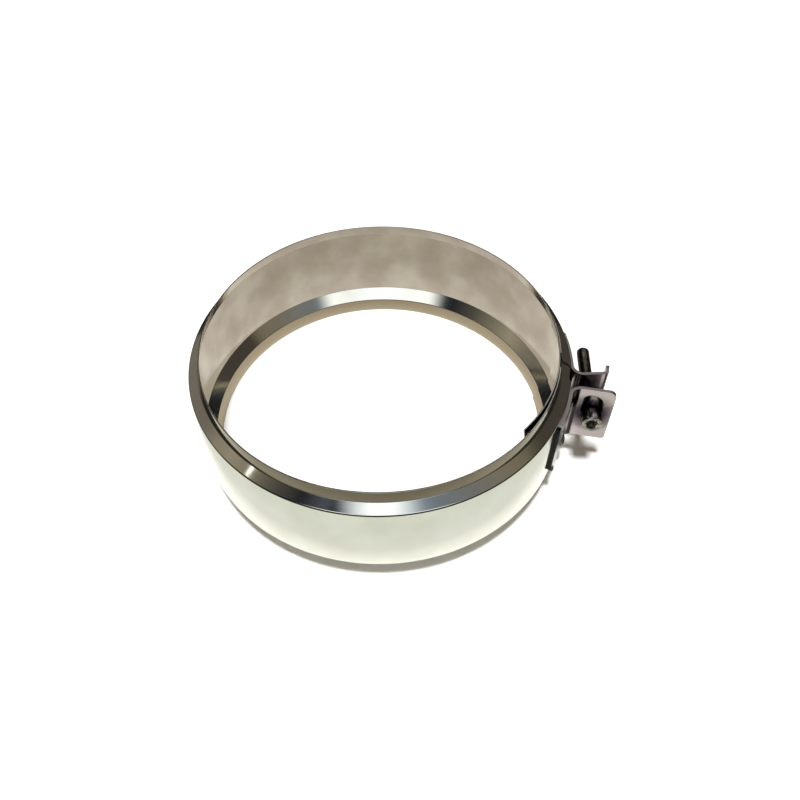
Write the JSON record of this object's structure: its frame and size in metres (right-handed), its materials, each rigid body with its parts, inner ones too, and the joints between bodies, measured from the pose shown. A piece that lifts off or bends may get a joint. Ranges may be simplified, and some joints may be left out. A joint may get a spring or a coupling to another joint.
{
  "type": "exhaust band clamp",
  "caption": "Split channel band with inward lips and an inner bridge, drawn round two flanged exhaust or flue pipe ends by a cross screw through two lugs.",
  "frame": {"origin": "on the pipe axis, half way up the band", "axes": "+Z along the pipe, +X from the pipe axis through the middle of the split, the near lug with the screw head on the -Y side of the split and the far lug with the nut on the +Y side"},
  "size_m": [0.1959, 0.175, 0.058],
  "materials": {
    "band_stainless": "bright rolled stainless sheet, nearly a mirror, with a faint rolling grain",
    "lug_stainless": "bright stainless strip with faint heat tint beside the spot welds",
    "fastener_stainless": "turned and rolled stainless thread, semi bright"
  },
  "bodies": {
    "clamp": {"band": "band_stainless", "bridge": "band_stainless", "near_lug": "lug_stainless", "far_lug": "lug_stainless"},
    "screw": {"screw": "fastener_stainless"},
    "nut": {"nut": "fastener_stainless"}
  },
  "joints": [
    {"name": "screw_turn", "type": "hinge", "parent": "clamp", "child": "screw", "pos_m": [0.09907, -0.00511, 0.0026], "axis": [0.0958, -0.9954, 0], "range_deg": [0, 1440]},
    {"name": "nut_travel", "type": "slide", "parent": "clamp", "child": "nut", "axis": [-0.0958, 0.9954, 0], "range_m": [0, 0.004]}
  ],
  "couplings": [
    {"joint": "nut_travel", "follows": "screw_turn", "m_per_rad": 0.00015915}
  ]
}
